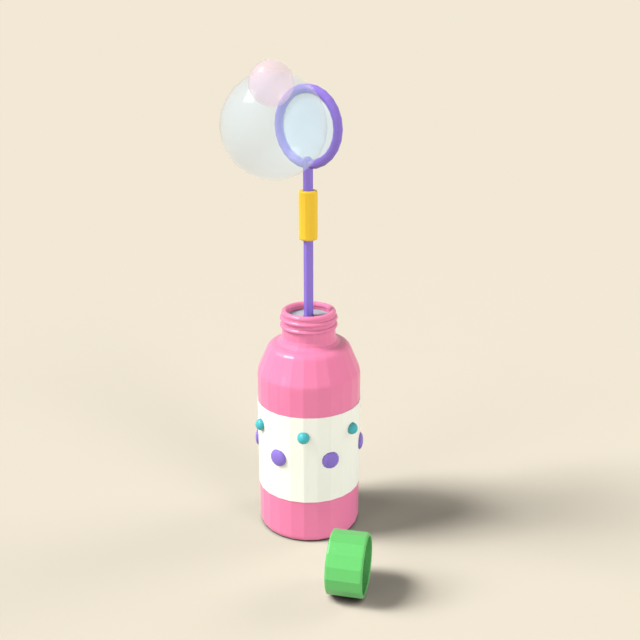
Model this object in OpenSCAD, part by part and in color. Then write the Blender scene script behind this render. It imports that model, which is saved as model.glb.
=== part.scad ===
// A bubble wand: a bottle of bubble solution with its wand standing in it, two blown
// bubbles in front of the wand's film, and the bottle's cap lying beside the bottle.
// Millimetres, +Z up. The origin is the centre of the bottle's foot, and -Y is its front.

/* [Bottle] */
// Outside diameter of the bottle's body
body_d = 50; // [46:0.5:60]
// Height of the upright wall, from the foot to the shoulder
body_h = 81.2; // [74:0.2:100]
// Thickness of the bottle's wall
bottle_wall = 1.3; // [0.8:0.1:2]
// Thickness of the bottle's floor
bottle_floor = 1.6; // [1:0.1:3]
// Radius of the rounded edge round the foot
foot_round = 1.8; // [1:0.1:4]
// Radius of the rounded corner inside the foot
foot_inner_round = 2.5; // [1:0.1:5]

/* [Shoulder] */
// Lean of the shoulder's steep part from upright, in degrees
shoulder_lean = 22.5; // [15:0.5:26]
// Length of the shoulder's steep part, along its slope
shoulder_steep = 11; // [6:0.2:13]
// Radius of the bend from the body into the shoulder
shoulder_low_round = 6; // [3:0.5:9]
// Radius of the bend above the steep part
shoulder_high_round = 5; // [3:0.5:7]
// Lean of the shoulder's upper part from upright, in degrees
shoulder_top_lean = 76; // [65:1:82]

/* [Neck] */
// Outside diameter of the plain neck
neck_d = 25.7; // [24.5:0.1:28]
// Bore of the neck
mouth_d = 21.8; // [18:0.1:22.5]
// Height of the neck, from the shoulder to the top of the lip
neck_h = 15.4; // [14:0.1:22]
// Radius of the rolled lip's round section
lip_round = 1.25; // [1.15:0.05:1.6]
// How far the lip stands out of the neck
lip_proud = 0.25; // [0.1:0.05:0.6]
// Radius of a closure ring's round section
ring_round = 1.35; // [1:0.05:1.6]
// How far each closure ring stands out of the neck
ring_proud = 0.85; // [0.4:0.05:1.2]
// Distance from the top of the lip down to the middle of the upper ring
ring_drop = 3.4; // [3:0.1:5]
// Distance between the middles of the two rings
ring_pitch = 3.6; // [2.8:0.1:5]

/* [Label and dots] */
// Height of the label sleeve
label_h = 44.9; // [36:0.1:52]
// Height of the label's lower edge above the foot
label_z = 22.4; // [12:0.1:26]
// Thickness of the label sleeve
label_t = 0.25; // [0.15:0.05:0.6]
// Number of dots in each row
dot_count = 6; // [6:1:6]
// Diameter of a purple dot
purple_dot_d = 8.9; // [6:0.1:11]
// How far a purple dot stands out of the label
purple_dot_proud = 1.9; // [0.8:0.1:3]
// Drop of the purple row below the middle of the label
purple_drop = 0.5; // [0:0.1:3]
// Turn of the first purple dot from the front towards +X, in degrees
purple_turn = 24.6; // [0:0.2:59]
// Diameter of a teal dot
teal_dot_d = 6.1; // [4:0.1:8]
// How far a teal dot stands out of the label
teal_dot_proud = 3.1; // [1:0.1:4]
// Height of the teal row above the purple row
teal_rise = 12.9; // [10:0.1:15]

/* [Bubble solution] */
// Drop from the top of the lip to the liquid's surface
fill_drop = 3.5; // [2:0.1:10]
// Film of clearance between the liquid's solid and what it wets
wet_gap = 0.3; // [0.1:0.05:0.5]

/* [Wand] */
// Diameter of the rod
rod_d = 4.75; // [4:0.05:6]
// Gap between the rod's foot and the bottle's floor
rod_foot_gap = 0.3; // [0.1:0.05:1]
// Height of the ring's centre above the rod's foot
wand_reach = 197; // [180:1:230]
// Outside diameter of the ring
wand_ring_d = 37.9; // [32:0.1:46]
// Diameter of the ring's round section
wand_ring_tube = 4.3; // [4:0.1:6]
// Turn of the ring about the rod, in degrees: its right side comes nearer
wand_ring_turn = 37.5; // [0:0.5:60]
// Diameter of the rod's spigot, which goes through the ring
spigot_d = 2.6; // [1.6:0.1:3]
// Height of the rod's rounded end above the ring's inner edge
rod_head_rise = 1.6; // [1:0.1:3]
// Outside diameter of the grip
grip_d = 8.8; // [7.6:0.1:12]
// Length of the grip
grip_h = 23.2; // [14:0.2:40]
// Drop from the ring's centre to the top of the grip
grip_drop = 28.5; // [26:0.5:45]
// Radius of the grip's rounded ends
grip_round = 0.9; // [0.3:0.1:1.2]
// Clearance left between pieces that are pushed or stuck together
fit_gap = 0.05; // [0.02:0.01:0.15]

/* [Film and bubbles] */
// Thickness of the soap film's solid
film_t = 0.3; // [0.2:0.05:0.6]
// Thickness of the bubbles' solid skins
bubble_skin = 0.4; // [0.3:0.05:0.8]
// Gap that parts the film and the bubbles
bubble_gap = 0.3; // [0.2:0.05:1]
// Diameter of the large bubble
large_bubble_d = 46.2; // [44:0.2:60]
// Height of the large bubble's centre above the ring's centre
large_bubble_rise = 2.7; // [0:0.1:5]
// Diameter of the small bubble
small_bubble_d = 18.2; // [10:0.2:24]
// Climb of the small bubble above the large one's level, in degrees
small_bubble_climb = 37.5; // [20:0.5:70]
// Turn of the small bubble from the front towards +X, in degrees
small_bubble_turn = 1.4; // [-20:0.2:20]

/* [Cap] */
// Length of the cap
cap_h = 16.8; // [15:0.1:22]
// Thickness of the cap's skirt
cap_wall = 0.8; // [0.6:0.05:1.6]
// Thickness of the cap's closed end
cap_top = 1.6; // [1:0.1:2.5]
// Radius of the rounded edge round the closed end
cap_round = 1; // [0.5:0.1:1.5]
// Clearance between the cap's skirt and the closure rings
cap_clearance = 0.1; // [0.05:0.05:0.4]
// Clearance between the plain neck and the snap band inside the cap's rim
band_clearance = 0.15; // [0.05:0.05:0.4]
// Drop from the lower closure ring to the seated cap's snap band
band_drop = 0.25; // [0.1:0.05:1]
// Radius of the rounded edges of the cap's rim
rim_round = 0.5; // [0.2:0.05:0.6]
// Thickness of the sealing liner
liner_t = 1.6; // [0.8:0.1:2]
// Clearance round the liner in the cap
liner_clearance = 0.3; // [0.1:0.05:0.5]
// Distance from the bottle's wall to the middle of the cap where it lies
cap_apart = 41.5; // [32:0.5:80]
// Direction of the cap from the front towards +X, in degrees
cap_side = 16; // [-40:0.5:40]
// Turn of the lying cap's open end from +X towards the front, in degrees
cap_turn = 12.5; // [-30:0.5:60]

/* [Hidden] */
$fn = 96;

// Steps in a quarter of a profile's arc
ARC_STEPS = 8;
// How far a cut runs past what it cuts
overrun = 1;

body_r = body_d / 2;
neck_r = neck_d / 2;
mouth_r = mouth_d / 2;
label_r = body_r + fit_gap + label_t;
rod_r = rod_d / 2;
spigot_r = spigot_d / 2;

low_bend = [body_r - shoulder_low_round, body_h];
steep_foot = low_bend + shoulder_low_round * [cos(shoulder_lean), sin(shoulder_lean)];
steep_head = steep_foot + shoulder_steep * [-sin(shoulder_lean), cos(shoulder_lean)];
high_bend = steep_head - shoulder_high_round * [cos(shoulder_lean), sin(shoulder_lean)];

lip_z = shoulder_z(0, neck_r) + neck_h;
fill_z = lip_z - fill_drop;
closure_r = neck_r + ring_proud;

dot_turn = 360 / dot_count;
purple_z = label_z + label_h / 2 - purple_drop;
teal_z = purple_z + teal_rise;
teal_turn = purple_turn - dot_turn / 2;

rod_foot_z = bottle_floor + rod_foot_gap;
ring_z = rod_foot_z + wand_reach;
tube_r = wand_ring_tube / 2;
hoop_r = wand_ring_d / 2 - tube_r;
hoop_inner_r = hoop_r - tube_r;
rod_top_z = ring_z - hoop_inner_r + rod_head_rise;
grip_z = ring_z - grip_drop - grip_h;

large_r = large_bubble_d / 2;
small_r = small_bubble_d / 2;
film_front = [-sin(wand_ring_turn), -cos(wand_ring_turn), 0];
large_at = [0, 0, ring_z + large_bubble_rise]
    + (film_t / 2 + bubble_gap + large_r) * film_front;
small_way = [
    sin(small_bubble_turn) * cos(small_bubble_climb),
    -cos(small_bubble_turn) * cos(small_bubble_climb),
    sin(small_bubble_climb)
];
small_at = large_at + (large_r + bubble_gap + small_r) * small_way;

cap_inner_r = closure_r + cap_clearance;
cap_r = cap_inner_r + cap_wall;
band_r = neck_r + band_clearance;
rim_fillet = min(rim_round, (cap_r - band_r) / 3);
// Depth of the seated bottle's lower ring in the cap, from the cap's closed end
seated_ring = cap_top + fit_gap + liner_t + ring_drop + ring_pitch + ring_round;
band_depth = seated_ring + band_drop;
cap_distance = body_r + cap_apart;
cap_at = [cap_distance * sin(cap_side), -cap_distance * cos(cap_side), cap_r];

// Points on an arc round centre c, from angle a to angle b
function arc(c, r, a, b) =
    let (steps = max(2, ceil(ARC_STEPS * abs(b - a) / 90)))
    [for (i = [0:steps]) c + r * [cos(a + (b - a) * i / steps), sin(a + (b - a) * i / steps)]];

// Height of the shoulder's upper slope at radius r, where the surface is inset by d
function shoulder_z(d, r) =
    let (p = high_bend + (shoulder_high_round - d) * [cos(shoulder_top_lean), sin(shoulder_top_lean)])
    p[1] + (p[0] - r) / tan(shoulder_top_lean);

// The shoulder's outline from the body up to radius r, inset by d
function shoulder(d, r) = concat(
    arc(low_bend, shoulder_low_round - d, 0, shoulder_lean),
    arc(high_bend, shoulder_high_round - d, shoulder_lean, shoulder_top_lean),
    [[r, shoulder_z(d, r)]]
);

// The inside of the bottle below the neck, grown smaller by gap, from the floor up
function cavity(gap) = concat(
    arc(
        [body_r - bottle_wall - foot_inner_round, bottle_floor + foot_inner_round],
        foot_inner_round - gap, -90, 0
    ),
    shoulder(bottle_wall + gap, mouth_r - gap)
);

function reversed(points) = [for (i = [len(points) - 1:-1:0]) points[i]];

// The bottle's wall, from the foot's centre up the outside and down the inside
module bottle_section() {
    polygon(concat(
        [[0, 0]],
        arc([body_r - foot_round, foot_round], foot_round, -90, 0),
        shoulder(0, neck_r),
        [[neck_r, lip_z - lip_round], [mouth_r, lip_z - lip_round]],
        reversed(cavity(0)),
        [[0, bottle_floor]]
    ));
}

// A closure ring's section, kept out of the bore
module ring_section(z) {
    intersection() {
        translate([closure_r - ring_round, z]) circle(ring_round);
        translate([(mouth_r + neck_r) / 2, z - ring_round])
            square([ring_proud + neck_r, 2 * ring_round]);
    }
}

module bottle() {
    color("hotpink") rotate_extrude() {
        bottle_section();
        translate([neck_r + lip_proud - lip_round, lip_z - lip_round]) circle(lip_round);
        ring_section(lip_z - ring_drop);
        ring_section(lip_z - ring_drop - ring_pitch);
    }
}

module label() {
    color("ivory") rotate_extrude()
        translate([body_r + fit_gap, label_z]) square([label_t, label_h]);
}

module bubble_solution() {
    hole_r = rod_r + wet_gap;
    color("lightsteelblue") rotate_extrude() polygon(concat(
        [[hole_r, bottle_floor + wet_gap]],
        cavity(wet_gap),
        [[mouth_r - wet_gap, fill_z], [hole_r, fill_z]]
    ));
}

// A domed dot stuck on the label at the turn and height given
module dot(d, proud, turn, z) {
    seat_r = label_r + fit_gap;
    root = seat_r - sqrt(seat_r * seat_r - d * d / 4) + overrun;
    difference() {
        rotate([0, 0, turn - 90]) translate([seat_r, 0, z]) rotate([0, 90, 0])
            rotate_extrude() polygon(concat(
                [[0, -root], [d / 2, -root]],
                [for (i = [0:ARC_STEPS - 1])
                    [d / 2 * cos(90 * i / ARC_STEPS), proud * sin(90 * i / ARC_STEPS)]],
                [[0, proud]]
            ));
        cylinder(h = z + d, r = seat_r);
    }
}

module purple_dot(i) {
    color("mediumpurple") dot(purple_dot_d, purple_dot_proud, purple_turn + i * dot_turn, purple_z);
}

module teal_dot(i) {
    color("mediumturquoise") dot(teal_dot_d, teal_dot_proud, teal_turn + i * dot_turn, teal_z);
}

// Stands a flat shape's axis along the way that the film faces, at the ring's centre
module at_ring() {
    translate([0, 0, ring_z]) rotate([0, 0, -wand_ring_turn]) rotate([90, 0, 0]) children();
}

module hoop(r) {
    at_ring() rotate_extrude() translate([hoop_r, 0]) circle(r);
}

module wand_rod() {
    color("mediumpurple") {
        difference() {
            union() {
                translate([0, 0, rod_foot_z + rod_r])
                    cylinder(h = rod_top_z - rod_foot_z - 2 * rod_r, r = rod_r);
                translate([0, 0, rod_foot_z + rod_r]) sphere(rod_r);
                translate([0, 0, rod_top_z - rod_r]) sphere(rod_r);
            }
            hoop(tube_r + fit_gap);
        }
        translate([0, 0, ring_z - hoop_r - tube_r - rod_r])
            cylinder(h = 2 * tube_r + rod_r + rod_head_rise / 2, r = spigot_r);
    }
}

module wand_ring() {
    color("mediumpurple") difference() {
        hoop(tube_r);
        translate([0, 0, ring_z - hoop_r - tube_r - overrun])
            cylinder(h = 2 * (tube_r + overrun), r = spigot_r + fit_gap);
    }
}

module wand_grip() {
    color("gold") translate([0, 0, grip_z]) rotate_extrude() polygon(concat(
        [[rod_r + fit_gap, 0]],
        arc([grip_d / 2 - grip_round, grip_round], grip_round, -90, 0),
        arc([grip_d / 2 - grip_round, grip_h - grip_round], grip_round, 0, 90),
        [[rod_r + fit_gap, grip_h]]
    ));
}

module soap_film() {
    color("lightcyan", 0.5) difference() {
        at_ring() translate([0, 0, -film_t / 2]) cylinder(h = film_t, r = hoop_inner_r - fit_gap);
        translate([0, 0, rod_top_z - rod_r]) sphere(rod_r + fit_gap);
    }
}

module bubble(r) {
    difference() {
        sphere(r);
        sphere(r - bubble_skin);
    }
}

module large_bubble() {
    color("powderblue", 0.5) translate(large_at) bubble(large_r);
}

module small_bubble() {
    color("pink", 0.5) translate(small_at) bubble(small_r);
}

// Lays what is drawn with its closed end down on its side beside the bottle
module lying() {
    translate(cap_at) rotate([0, 0, -cap_turn]) rotate([0, 90, 0])
        translate([0, 0, -cap_h / 2]) children();
}

module cap() {
    color("limegreen") lying() rotate_extrude() polygon(concat(
        [[0, 0]],
        arc([cap_r - cap_round, cap_round], cap_round, -90, 0),
        arc([cap_r - rim_fillet, cap_h - rim_fillet], rim_fillet, 0, 90),
        arc([band_r + rim_fillet, cap_h - rim_fillet], rim_fillet, 90, 180),
        [
            [band_r, band_depth], [cap_inner_r, band_depth - (cap_inner_r - band_r)],
            [cap_inner_r, cap_top], [0, cap_top]
        ]
    ));
}

module cap_liner() {
    color("whitesmoke") lying() translate([0, 0, cap_top + fit_gap])
        cylinder(h = liner_t, r = cap_inner_r - liner_clearance);
}

bottle();
label();
bubble_solution();
for (i = [0:dot_count - 1]) {
    purple_dot(i);
    teal_dot(i);
}
wand_rod();
wand_ring();
wand_grip();
soap_film();
large_bubble();
small_bubble();
cap();
cap_liner();
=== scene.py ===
"""Looks of the bubble wand set: a faceted bottle with its label and dots, the wand with its film,
two soap bubbles and the cap lying beside the bottle.

Lengths are in millimetres and MM makes them metres, but the stage and the camera are given in
metres. Angles are in degrees. A turn goes from the front, -Y, towards +X. Colours are sRGB from
0 to 255, and linear() makes them linear."""
import math

import bmesh
import bpy
from mathutils import Matrix, Vector


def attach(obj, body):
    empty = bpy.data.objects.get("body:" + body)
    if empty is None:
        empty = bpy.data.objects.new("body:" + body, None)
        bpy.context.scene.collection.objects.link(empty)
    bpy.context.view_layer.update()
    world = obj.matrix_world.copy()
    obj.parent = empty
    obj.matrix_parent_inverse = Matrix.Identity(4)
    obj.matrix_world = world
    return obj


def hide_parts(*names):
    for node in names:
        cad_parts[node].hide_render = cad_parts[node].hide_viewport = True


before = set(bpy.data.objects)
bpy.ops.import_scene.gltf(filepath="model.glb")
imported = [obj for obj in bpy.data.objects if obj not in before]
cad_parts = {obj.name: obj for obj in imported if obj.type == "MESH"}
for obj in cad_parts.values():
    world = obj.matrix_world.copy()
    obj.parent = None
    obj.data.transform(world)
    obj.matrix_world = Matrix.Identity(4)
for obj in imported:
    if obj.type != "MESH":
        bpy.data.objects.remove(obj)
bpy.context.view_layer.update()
MM = 0.001

# Bottle: body, wall and floor, and the foot's rounding (in and up outside, one radius inside)
BODY_R, BODY_H, WALL, FLOOR_T = 25.0, 81.2, 1.3, 1.6
FOOT_DEEP, FOOT_HIGH, FOOT_INNER_ROUND = 1.9, 3.2, 2.5
# Shoulder: lean off the upright and length of its steep part, the bends below and above that part,
# and the lean of the top
LEAN, STEEP, LOW_ROUND, HIGH_ROUND, TOP_LEAN = 22.5, 11.0, 6.0, 5.0, 76.0
# Neck with its lip and the two closure rings, which lie at these drops below the lip's top
NECK_R, MOUTH_R, LIP_Z = 12.85, 10.9, 113.15
LIP_ROUND, LIP_PROUD, NECK_FILLET = 1.38, 0.25, 3.2
RING_ROUND, RING_PROUD, RING_DROPS = 1.05, 1.03, (7.65, 4.0)
# Label sleeve
LABEL_R, LABEL_T, LABEL_Z, LABEL_H = 25.3, 0.25, 22.4, 44.9
# Rows of dots on the label: width, how far proud, turn of the first dot, height
PURPLE_ROW, TEAL_ROW = (8.9, 1.9, 24.6, 44.35), (6.1, 3.1, -5.4, 57.25)
# Dots in a row, how far off the axis they sit, how deep they are sunk, and the dome's points
DOTS, DOT_SEAT, DOT_SINK, DOT_ANGLES = 6, 25.35, 0.45, (0, 24, 48, 70)
# Wand: rod, ring and grip
ROD_R, ROD_FOOT_Z, ROD_TOP_Z = 2.375, 1.9, 185.85
HOOP_Z, HOOP_R, TUBE_R, HOOP_TURN = 198.9, 16.8, 2.15, -37.5
GRIP_R, GRIP_Z, GRIP_H, GRIP_ROUND, GRIP_GAP = 4.4, 147.2, 23.2, 0.9, 0.2
# Bubbles: centre and radius
LARGE_AT, LARGE_R = (-14.34, -18.68, 201.6), 23.1
SMALL_AT, SMALL_R = (-13.71, -44.46, 221.38), 9.1
# Cap, drawn with its closed end down: skirt, snap band, closed end, and the roundings of its edges
CAP_R, CAP_INNER_R, CAP_BAND_R, CAP_H, CAP_TOP = 14.6, 13.8, 13.0, 16.8, 1.6
CAP_ROUND, CAP_RIM_OUTER, CAP_RIM_INNER, CAP_BAND_Z = 1.0, 1.05, 0.45, 11.65
CAP_AT, CAP_TURN = (18.33, -63.92, 14.6), -12.5

# Flat sides of each round form: how many, the turn of the first edge, and a swell that brings the
# flats out to where the round wall is seen
BODY_FLATS, ROD_FLATS, GRIP_FLATS = (24, -5.3, 1.0086), (8, -21.7, 1.035), (12, 12.0, 1.017)
CAP_FLATS, DOT_FLATS, BUBBLE_FLATS = (16, -1.5), (14, 0), (24, -5.3)
HOOP_SIDES, TUBE_SIDES, BUBBLE_ROWS = 24, 12, 12
# Steps of the arcs in the outlines
FOOT_STEPS, LOW_STEPS, HIGH_STEPS, FILLET_STEPS, RING_STEPS, LIP_STEPS = 4, 2, 4, 2, 6, 9
ARC_STEPS, CAP_INNER_STEPS = 3, 2
# Soft edges: width on most pieces and on four that need another, steps, and from which angle
EDGE_ROUND, EDGE_STEPS, EDGE_ANGLE = 0.12, 2, 2
BOTTLE_EDGE, LABEL_EDGE, DOT_EDGE, GRIP_EDGE = 0.07, 0.06, 0.1, 0.55
# A point nearer to the axis than this is a pole
ON_AXIS = 1e-6

# Plastics: colour, worn colour, roughness where clean and where scuffed, orange peel if not slight
PINK = (232, 125, 164), (235, 139, 177), (0.3, 0.4)
IVORY = (243, 245, 233), (239, 239, 223), (0.5, 0.58)
PURPLE = (133, 110, 198), (143, 122, 206), (0.28, 0.38)
TEAL = (66, 177, 184), (88, 191, 194), (0.25, 0.35)
WAND_PURPLE = (137, 111, 204), (147, 123, 212), (0.15, 0.25)
GRIP_YELLOW = (237, 194, 54), (233, 187, 50), (0.42, 0.52), 0.05
GREEN = (95, 187, 100), (108, 194, 113), (0.28, 0.38)
FOAM_WHITE = (236, 236, 230), (228, 228, 220), (0.6, 0.7), 0.06
PLASTIC_IOR, SLIGHT_PEEL = 1.46, 0.015
# Painted shade: linear dark grey that a plastic shows in the light it throws on its neighbours
# instead of its own colour, so that nooks and creases near it darken without a tint
PAINTED_SHADE_BOUNCE = (0.1, 0.1, 0.1, 1)
# Noises: scale, detail and stretch. Spans: from low to high, to low to high
CLOUD, CLOUD_SPAN = (45, 3), (0.35, 0.75, 0, 0.35)
SCUFF, SCUFF_SPAN = (260, 6, (1, 1, 0.12)), (0.6, 0.78, 0, 1)
PEEL = (900, 2)
# Soap skins: colour, opacity, roughness, gloss, coat and sheen
FILM_SKIN = (205, 236, 255), 0.27, (0.1, 0.2), 0.25, 0.0, 0.0
LARGE_SKIN = (194, 222, 240), 0.22, (0.4, 0.5), 0.05, 0.5, 1.0
SMALL_SKIN = (238, 205, 228), 0.27, (0.4, 0.5), 0.05, 0.5, 1.0
SKIN_IOR, COAT_ROUGH, SHEEN_ROUGH, SHEEN_TINT = 1.5, 0.2, 0.42, (255, 250, 240)
FILM_IOR, FILM_NANOMETRES = 1.33, (0, 120)
SWIRL, SWIRL_SPAN = (30, 2, (1, 1, 2)), (0.2, 0.8)
# Solution
SOLUTION, SOLUTION_IOR = (182, 190, 203), 1.34
RIPPLE, RIPPLE_SPAN, RIPPLE_PEEL = (90, 2), (0.3, 0.7, 0.08, 0.16), 0.08

# Floor in metres: size, drop below the set, and the span in which it fades into the background
BACKGROUND = (242, 232, 213)
FLOOR_SIZE, FLOOR_DROP, FADE_SPAN, FLOOR_ROUGH = 6, 0.00005, (0.25, 0.6, 0, 1), 0.9
# Shares of the background's colour that the floor has as seen and in the light that it throws
FLOOR_SHARE, FLOOR_BOUNCE = 0.72, 0.36
# Painted shade on the floor near a piece: how far from a piece it reaches, in millimetres, and the
# span from shut in to open
PAINTED_CONTACT_SHADE, PAINTED_CONTACT_SHADE_SPAN = 6, (0.1, 0.62, 0.03, 1)
# Light over the whole scene
AMBIENT = 0.05
# Lamps: name, turn, height, strength, width, and the pieces that alone throw its shadow
MAIN_LAMP = "key"
LAMPS = (
    (MAIN_LAMP, -83, 50, 0.84, 18, ()),
    ("key_low", -83, 30, 0.43, 18, ()),
    ("key_side", -98, 40, 0.3, 18, ()),
    ("left", -45, 15, 0.23, 30, ()),
    ("rim", 112, 25, 0.29, 30, ()),
    ("fill", 40, 10, 0.66, 30, ("bottle_shell",)),
)
# Camera in metres: place, pitch, half the angle that it sees, sensor in millimetres, near and far
CAMERA_AT, CAMERA_PITCH, HALF_VIEW = (0.005432, -0.405972, 0.250156), 70.633, 19.659
SENSOR, NEAR, FAR = 36, 0.01, 20


# Shapes


def arc(cx, cz, r, a, b, steps):
    """Points on an arc round (cx, cz) from angle a to angle b."""
    return [(cx + r * math.cos(math.radians(a + (b - a) * i / steps)),
             cz + r * math.sin(math.radians(a + (b - a) * i / steps))) for i in range(steps + 1)]


def lathe(outline, sides, edge, swell=1.0, closed=False):
    """A bmesh turned round Z from (radius, height) points, with flat sides; edge is the turn of
    the first one's edge. A closed outline runs on from its last point to its first."""
    bm = bmesh.new()
    columns = []
    for k in range(sides):
        turn = math.radians(edge + 360 * k / sides)
        x, y = math.sin(turn), -math.cos(turn)
        columns.append([None if r < ON_AXIS else bm.verts.new((r * swell * x, r * swell * y, z))
                        for r, z in outline])
    poles = {i: bm.verts.new((0, 0, z)) for i, (r, z) in enumerate(outline) if r < ON_AXIS}
    n = len(outline)
    for k in range(sides):
        a, b = columns[k], columns[(k + 1) % sides]
        for i in range(n if closed else n - 1):
            j = (i + 1) % n
            if i in poles and j in poles:
                continue
            if i in poles:
                corners = (poles[i], b[j], a[j])
            elif j in poles:
                corners = (a[i], b[i], poles[j])
            else:
                corners = (a[i], b[i], b[j], a[j])
            bm.faces.new(corners)
    bmesh.ops.recalc_face_normals(bm, faces=bm.faces)
    return bm


def torus():
    """The wand's ring round its own Y axis, with flat sides."""
    bm = bmesh.new()
    rows = []
    for k in range(HOOP_SIDES):
        a = 2 * math.pi * k / HOOP_SIDES
        row = []
        for i in range(TUBE_SIDES):
            t = 2 * math.pi * i / TUBE_SIDES
            r = HOOP_R + TUBE_R * math.cos(t)
            row.append(bm.verts.new((r * math.sin(a), TUBE_R * math.sin(t), r * math.cos(a))))
        rows.append(row)
    for k in range(HOOP_SIDES):
        a, b = rows[k], rows[(k + 1) % HOOP_SIDES]
        for i in range(TUBE_SIDES):
            j = (i + 1) % TUBE_SIDES
            bm.faces.new((a[i], a[j], b[j], b[i]))
    bmesh.ops.recalc_face_normals(bm, faces=bm.faces)
    return bm


def turned_about(turn):
    """Rotation that brings the front to the turn given."""
    return Matrix.Rotation(math.radians(turn), 4, "Z")


def piece(name, bm, material, body, nodes, place=None, edge_round=EDGE_ROUND):
    """Makes an object of the bmesh, softens its edges and lets it stand for its CAD nodes."""
    bm.transform(Matrix.Scale(MM, 4) @ (place or Matrix.Identity(4)))
    mesh = bpy.data.meshes.new(name)
    bm.to_mesh(mesh)
    bm.free()
    obj = bpy.data.objects.new(name, mesh)
    bpy.context.scene.collection.objects.link(obj)
    mesh.materials.append(material)
    mesh.shade_smooth()
    if edge_round:
        bevel = obj.modifiers.new("soft_edges", "BEVEL")
        bevel.width, bevel.segments = edge_round * MM, EDGE_STEPS
        bevel.limit_method, bevel.angle_limit = "ANGLE", math.radians(EDGE_ANGLE)
        bevel.harden_normals = True
    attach(obj, body)
    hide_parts(*nodes)
    return obj


def dress(node, material):
    """Gives a CAD node that is shown as it is its material."""
    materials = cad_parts[node].data.materials
    materials.clear()
    materials.append(material)


# Materials


def linear(rgb):
    """Linear colour of an sRGB one."""
    return [((c / 255 + 0.055) / 1.055) ** 2.4 if c > 10 else c / 255 / 12.92 for c in rgb] + [1]


def new_material(name):
    """A material, its node tree and its shader."""
    material = bpy.data.materials.new(name)
    material.use_nodes = True
    return material, material.node_tree, material.node_tree.nodes["Principled BSDF"]


def put(node, values):
    """Sets a node's inputs to the values given by name."""
    for name, value in values.items():
        node.inputs[name].default_value = value


def noise(tree, scale, detail, stretch=(1, 1, 1)):
    """A noise texture on the piece's own coordinates, stretched along its axes."""
    mapping, texture = tree.nodes.new("ShaderNodeMapping"), tree.nodes.new("ShaderNodeTexNoise")
    put(mapping, {"Scale": stretch})
    put(texture, {"Scale": scale, "Detail": detail})
    place = tree.nodes.new("ShaderNodeTexCoord").outputs["Object"]
    tree.links.new(place, mapping.inputs["Vector"])
    tree.links.new(mapping.outputs["Vector"], texture.inputs["Vector"])
    return texture.outputs["Fac"]


def spread(tree, source, low, high, out_low, out_high):
    """The source's span low to high mapped to the span out_low to out_high."""
    node = tree.nodes.new("ShaderNodeMapRange")
    put(node, {"From Min": low, "From Max": high, "To Min": out_low, "To Max": out_high})
    tree.links.new(source, node.inputs["Value"])
    return node.outputs["Result"]


def combined(tree, operation, first, second):
    """Two numbers joined by the operation given."""
    node = tree.nodes.new("ShaderNodeMath")
    node.operation = operation
    tree.links.new(first, node.inputs[0])
    tree.links.new(second, node.inputs[1])
    return node.outputs[0]


def rays(tree, first, *others):
    """1 for rays of the kinds given, else 0."""
    path = tree.nodes.new("ShaderNodeLightPath")
    found = path.outputs[first]
    for kind in others:
        found = combined(tree, "MAXIMUM", found, path.outputs[kind])
    return found


def colour_mix(tree, factor, first, second):
    """The first colour turned into the second, which is constant, by the factor."""
    node = tree.nodes.new("ShaderNodeMix")
    node.data_type = "RGBA"
    tree.links.new(factor, node.inputs["Factor"])
    if isinstance(first, bpy.types.NodeSocket):
        tree.links.new(first, node.inputs["A"])
    else:
        put(node, {"A": first})
    put(node, {"B": second})
    return node.outputs["Result"]


def shader_mix(tree, factor, first, second):
    """The first shader turned into the second by the factor."""
    node = tree.nodes.new("ShaderNodeMixShader")
    for i, source in enumerate((factor, first, second)):
        tree.links.new(source, node.inputs[i])
    return node.outputs[0]


def bumps(tree, height, strength):
    """The normal of a surface with small bumps."""
    node = tree.nodes.new("ShaderNodeBump")
    put(node, {"Strength": strength, "Distance": MM})
    tree.links.new(height, node.inputs["Height"])
    return node.outputs["Normal"]


def moulded(name, rgb, worn, rough, peel=SLIGHT_PEEL):
    """Moulded plastic: a faint cloud in its colour, scuffs, orange peel, an uneven gloss, and
    painted shade: a dark grey in the light that it throws on its neighbours.
    """
    material, tree, shader = new_material(name)
    put(shader, {"IOR": PLASTIC_IOR})
    cloud = spread(tree, noise(tree, *CLOUD), *CLOUD_SPAN)
    scuff = spread(tree, noise(tree, *SCUFF), *SCUFF_SPAN)
    wear = combined(tree, "MAXIMUM", cloud, scuff)
    tone = colour_mix(tree, wear, linear(rgb), linear(worn))
    # Painted shade: to the light thrown between pieces the plastic shows a dark grey instead of
    # its colour
    colour = colour_mix(tree, rays(tree, "Is Diffuse Ray"), tone, PAINTED_SHADE_BOUNCE)
    tree.links.new(colour, shader.inputs["Base Color"])
    tree.links.new(spread(tree, scuff, 0, 1, *rough), shader.inputs["Roughness"])
    tree.links.new(bumps(tree, noise(tree, *PEEL), peel), shader.inputs["Normal"])
    return material


def skin(name, rgb, alpha, rough, gloss, coat, sheen):
    """Thin soap skin: pale and clear, with the faint colours of a thin film. Its coat shines in
    flat panes, and its sheen lets the rim fade out."""
    material, tree, shader = new_material(name)
    put(shader, {"Base Color": linear(rgb), "Alpha": alpha, "IOR": SKIN_IOR,
                 "Specular IOR Level": gloss, "Thin Film IOR": FILM_IOR,
                 "Coat Weight": coat, "Coat Roughness": COAT_ROUGH,
                 "Sheen Weight": sheen, "Sheen Roughness": SHEEN_ROUGH,
                 "Sheen Tint": linear(SHEEN_TINT)})
    pane = tree.nodes.new("ShaderNodeNewGeometry").outputs["True Normal"]
    tree.links.new(pane, shader.inputs["Coat Normal"])
    swirl = noise(tree, *SWIRL)
    thickness = spread(tree, swirl, *SWIRL_SPAN, *FILM_NANOMETRES)
    tree.links.new(thickness, shader.inputs["Thin Film Thickness"])
    tree.links.new(spread(tree, swirl, *SWIRL_SPAN, *rough), shader.inputs["Roughness"])
    return material


def liquid(name, rgb):
    """The solution: pale, wet and slightly rippled."""
    material, tree, shader = new_material(name)
    put(shader, {"Base Color": linear(rgb), "IOR": SOLUTION_IOR})
    ripple = noise(tree, *RIPPLE)
    tree.links.new(spread(tree, ripple, *RIPPLE_SPAN), shader.inputs["Roughness"])
    tree.links.new(bumps(tree, ripple, RIPPLE_PEEL), shader.inputs["Normal"])
    return material


# Pieces


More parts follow.
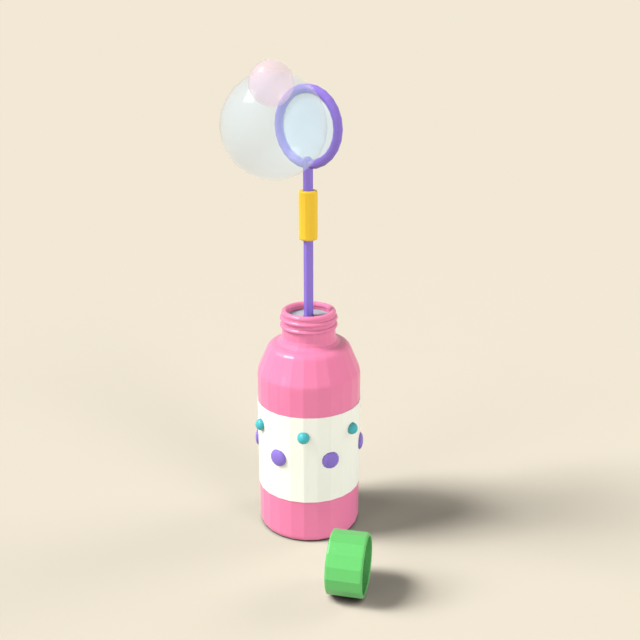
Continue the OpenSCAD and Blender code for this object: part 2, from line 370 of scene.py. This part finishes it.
def bottle_outline():
    """The bottle's wall from the foot's centre up the outside and down the inside."""
    lean, top = math.radians(LEAN), math.radians(TOP_LEAN)
    low = (BODY_R - LOW_ROUND, BODY_H)
    head = (low[0] + LOW_ROUND * math.cos(lean) - STEEP * math.sin(lean),
            low[1] + LOW_ROUND * math.sin(lean) + STEEP * math.cos(lean))
    high = (head[0] - HIGH_ROUND * math.cos(lean), head[1] - HIGH_ROUND * math.sin(lean))

    def shoulder(inset, r):
        """The shoulder, set in from the outside, as far as the radius r."""
        bend = HIGH_ROUND - inset
        x, z = high[0] + bend * math.cos(top), high[1] + bend * math.sin(top)
        return (arc(*low, LOW_ROUND - inset, 0, LEAN, LOW_STEPS)
                + arc(*high, bend, LEAN, TOP_LEAN, HIGH_STEPS)
                + [(r, z + (x - r) / math.tan(top))])

    foot = [(BODY_R - FOOT_DEEP + FOOT_DEEP * x, FOOT_HIGH + FOOT_HIGH * z)
            for x, z in arc(0, 0, 1, -90, 0, FOOT_STEPS)]
    outside = foot + shoulder(0, NECK_R)
    root = outside.pop()[1]
    rise = root - NECK_FILLET / math.tan(top) + NECK_FILLET / math.sin(top)
    outside += arc(NECK_R + NECK_FILLET, rise, NECK_FILLET, 180 + TOP_LEAN, 180, FILLET_STEPS)
    for drop in RING_DROPS:
        middle = NECK_R + RING_PROUD - RING_ROUND
        reach = math.degrees(math.acos((NECK_R - middle) / RING_ROUND))
        outside += arc(middle, LIP_Z - drop, RING_ROUND, -reach, reach, RING_STEPS)
    middle = NECK_R + LIP_PROUD - LIP_ROUND
    start = math.degrees(math.acos((NECK_R - middle) / LIP_ROUND))
    end = 360 - math.degrees(math.acos((MOUTH_R - middle) / LIP_ROUND))
    outside += arc(middle, LIP_Z - LIP_ROUND, LIP_ROUND, -start, end, LIP_STEPS)
    inside = arc(BODY_R - WALL - FOOT_INNER_ROUND, FLOOR_T + FOOT_INNER_ROUND, FOOT_INNER_ROUND,
                 -90, 0, ARC_STEPS) + shoulder(WALL, MOUTH_R)
    return [(0, 0)] + outside + inside[::-1] + [(0, FLOOR_T)]


def dot(colour, number, material, d, proud, turn, z):
    """A low dome whose root is sunk in the label's flats."""
    outline = [(0, -DOT_SINK), (d / 2, -DOT_SINK)]
    for angle in DOT_ANGLES:
        a = math.radians(angle)
        outline.append((d / 2 * math.cos(a), proud * math.sin(a)))
    outline.append((0, proud))
    stand = (turned_about(turn) @ Matrix.Translation((0, -DOT_SEAT, z))
             @ Matrix.Rotation(math.radians(90), 4, "X"))
    piece(f"{colour}_dome_{number}", lathe(outline, *DOT_FLATS), material,
          "bottle", [f"{colour}_dot_{number}"], stand, edge_round=DOT_EDGE)


def build_bottle():
    """The bottle, its label and dots, and the solution in it."""
    piece("bottle_shell", lathe(bottle_outline(), *BODY_FLATS), moulded("pink_plastic", *PINK),
          "bottle", ["bottle"], edge_round=BOTTLE_EDGE)
    sleeve = [(LABEL_R - LABEL_T, LABEL_Z), (LABEL_R, LABEL_Z),
              (LABEL_R, LABEL_Z + LABEL_H), (LABEL_R - LABEL_T, LABEL_Z + LABEL_H)]
    piece("label_sleeve", lathe(sleeve, *BODY_FLATS, closed=True), moulded("ivory_sleeve", *IVORY),
          "bottle", ["label"], edge_round=LABEL_EDGE)
    rows = (("purple", moulded("purple_plastic", *PURPLE), *PURPLE_ROW),
            ("teal", moulded("teal_plastic", *TEAL), *TEAL_ROW))
    for i in range(DOTS):
        for colour, material, d, proud, turn, z in rows:
            dot(colour, i + 1, material, d, proud, turn + 360 / DOTS * i, z)
    dress("bubble_solution", liquid("solution_wet", SOLUTION))


def build_wand():
    """The wand: rod, ring, grip and soap film."""
    purple = moulded("wand_plastic", *WAND_PURPLE)
    rod = (arc(0, ROD_FOOT_Z + ROD_R, ROD_R, -90, 0, ARC_STEPS)
           + arc(0, ROD_TOP_Z - ROD_R, ROD_R, 0, 90, ARC_STEPS))
    piece("rod", lathe(rod, *ROD_FLATS), purple, "wand", ["wand_rod"])
    at_ring = Matrix.Translation((0, 0, HOOP_Z)) @ turned_about(HOOP_TURN)
    piece("hoop", torus(), purple, "wand", ["wand_ring"], at_ring)
    inner, outer, top = ROD_R + GRIP_GAP, GRIP_R - GRIP_ROUND, GRIP_Z + GRIP_H
    grip = ([(inner, GRIP_Z)] + arc(outer, GRIP_Z + GRIP_ROUND, GRIP_ROUND, -90, 0, ARC_STEPS)
            + arc(outer, top - GRIP_ROUND, GRIP_ROUND, 0, 90, ARC_STEPS) + [(inner, top)])
    piece("grip", lathe(grip, *GRIP_FLATS, closed=True), moulded("grip_rubber", *GRIP_YELLOW),
          "wand", ["wand_grip"], edge_round=GRIP_EDGE)
    dress("soap_film", skin("film_skin", *FILM_SKIN))


def build_bubbles():
    """The two bubbles, whose panes meet without a soft edge."""
    for size, look, at, r in (("large", LARGE_SKIN, LARGE_AT, LARGE_R),
                              ("small", SMALL_SKIN, SMALL_AT, SMALL_R)):
        ball = lathe(arc(0, 0, r, -90, 90, BUBBLE_ROWS), *BUBBLE_FLATS)
        piece(f"bubble_{size}", ball, skin(f"{size}_skin", *look), f"{size}_bubble",
              [f"{size}_bubble"], Matrix.Translation(at), edge_round=0)


def build_cap():
    """The cap lying on its side, and the liner in it."""
    rim_outer, rim_inner = CAP_R - CAP_RIM_OUTER, CAP_BAND_R + CAP_RIM_INNER
    outline = ([(0, 0)] + arc(CAP_R - CAP_ROUND, CAP_ROUND, CAP_ROUND, -90, 0, ARC_STEPS)
               + arc(rim_outer, CAP_H - CAP_RIM_OUTER, CAP_RIM_OUTER, 0, 90, ARC_STEPS)
               + arc(rim_inner, CAP_H - CAP_RIM_INNER, CAP_RIM_INNER, 90, 180, CAP_INNER_STEPS)
               + [(CAP_BAND_R, CAP_BAND_Z), (CAP_INNER_R, CAP_BAND_Z - CAP_INNER_R + CAP_BAND_R),
                  (CAP_INNER_R, CAP_TOP), (0, CAP_TOP)])
    lie = (Matrix.Translation(CAP_AT) @ turned_about(CAP_TURN)
           @ Matrix.Rotation(math.radians(90), 4, "Y") @ Matrix.Translation((0, 0, -CAP_H / 2)))
    piece("cap_shell", lathe(outline, *CAP_FLATS), moulded("green_plastic", *GREEN),
          "cap", ["cap"], lie)
    dress("cap_liner", moulded("liner_foam", *FOAM_WHITE))


# Stage, light and camera


def build_floor():
    """Pale floor that keeps the shadows, has painted shade where a piece is close over it and
    fades into the background far away."""
    bpy.ops.mesh.primitive_plane_add(size=FLOOR_SIZE, location=(0, 0, -FLOOR_DROP))
    floor = bpy.context.object
    floor.name = "floor"
    material, tree, shader = new_material("floor_card")
    floor.data.materials.append(material)
    put(shader, {"Roughness": FLOOR_ROUGH, "Specular IOR Level": 0.0})
    full = linear(BACKGROUND)
    thrown, shown = ([c * share for c in full[:3]] + [1] for share in (FLOOR_BOUNCE, FLOOR_SHARE))
    seen = rays(tree, "Is Camera Ray", "Is Glossy Ray")
    # Painted shade: the floor's colour darkens where a piece is close over it
    painted_contact_shade = tree.nodes.new("ShaderNodeAmbientOcclusion")
    put(painted_contact_shade, {"Distance": PAINTED_CONTACT_SHADE * MM})
    shade = tree.nodes.new("ShaderNodeVectorMath")
    shade.operation = "SCALE"
    tree.links.new(colour_mix(tree, seen, thrown, shown), shade.inputs[0])
    tree.links.new(spread(tree, painted_contact_shade.outputs["AO"], *PAINTED_CONTACT_SHADE_SPAN), shade.inputs["Scale"])
    tree.links.new(shade.outputs[0], shader.inputs["Base Color"])
    glow = tree.nodes.new("ShaderNodeEmission")
    put(glow, {"Color": full})
    away = tree.nodes.new("ShaderNodeVectorMath")
    away.operation = "LENGTH"
    tree.links.new(tree.nodes.new("ShaderNodeTexCoord").outputs["Object"], away.inputs[0])
    fade = combined(tree, "MULTIPLY", spread(tree, away.outputs["Value"], *FADE_SPAN), seen)
    surface = shader_mix(tree, fade, shader.outputs[0], glow.outputs[0])
    tree.links.new(surface, tree.nodes["Material Output"].inputs["Surface"])


def build_world():
    """Faint white light from all round, behind which the background's colour is seen."""
    world = bpy.data.worlds.new("studio")
    bpy.context.scene.world = world
    world.use_nodes = True
    tree = world.node_tree
    tree.nodes.clear()
    light, backdrop = (tree.nodes.new("ShaderNodeBackground") for _ in range(2))
    put(light, {"Color": (1, 1, 1, 1), "Strength": AMBIENT})
    put(backdrop, {"Color": linear(BACKGROUND)})
    seen = rays(tree, "Is Camera Ray", "Is Glossy Ray", "Is Transmission Ray")
    output = tree.nodes.new("ShaderNodeOutputWorld")
    surface = shader_mix(tree, seen, light.outputs[0], backdrop.outputs[0])
    tree.links.new(surface, output.inputs["Surface"])


def build_lamps():
    """Soft lamps, of which only the main one shows in what shines."""
    for name, turn, climb, strength, width, blockers in LAMPS:
        lamp = bpy.data.lights.new(name, "SUN")
        lamp.energy, lamp.angle = strength * math.pi, math.radians(width)
        holder = bpy.data.objects.new(name, lamp)
        holder.visible_glossy = name == MAIN_LAMP
        if blockers:
            shadows = bpy.data.collections.new(f"{name}_blockers")
            holder.light_linking.blocker_collection = shadows
            for blocker in blockers:
                shadows.objects.link(bpy.data.objects[blocker])
        bpy.context.scene.collection.objects.link(holder)
        a, e = math.radians(turn), math.radians(climb)
        way = Vector((math.sin(a) * math.cos(e), -math.cos(a) * math.cos(e), math.sin(e)))
        holder.rotation_mode = "QUATERNION"
        holder.rotation_quaternion = way.to_track_quat("Z", "Y")


def build_camera():
    """The camera in front of the set, looking down at it."""
    camera = bpy.data.objects.new("camera", bpy.data.cameras.new("camera"))
    bpy.context.scene.collection.objects.link(camera)
    camera.location = CAMERA_AT
    camera.rotation_euler = (math.radians(CAMERA_PITCH), 0, 0)
    camera.data.sensor_width = SENSOR
    camera.data.lens = SENSOR / 2 / math.tan(math.radians(HALF_VIEW))
    camera.data.clip_start, camera.data.clip_end = NEAR, FAR
    bpy.context.scene.camera = camera


build_bottle()
build_wand()
build_bubbles()
build_cap()
build_floor()
build_world()
build_lamps()
build_camera()
bpy.context.scene.view_settings.view_transform = "Standard"
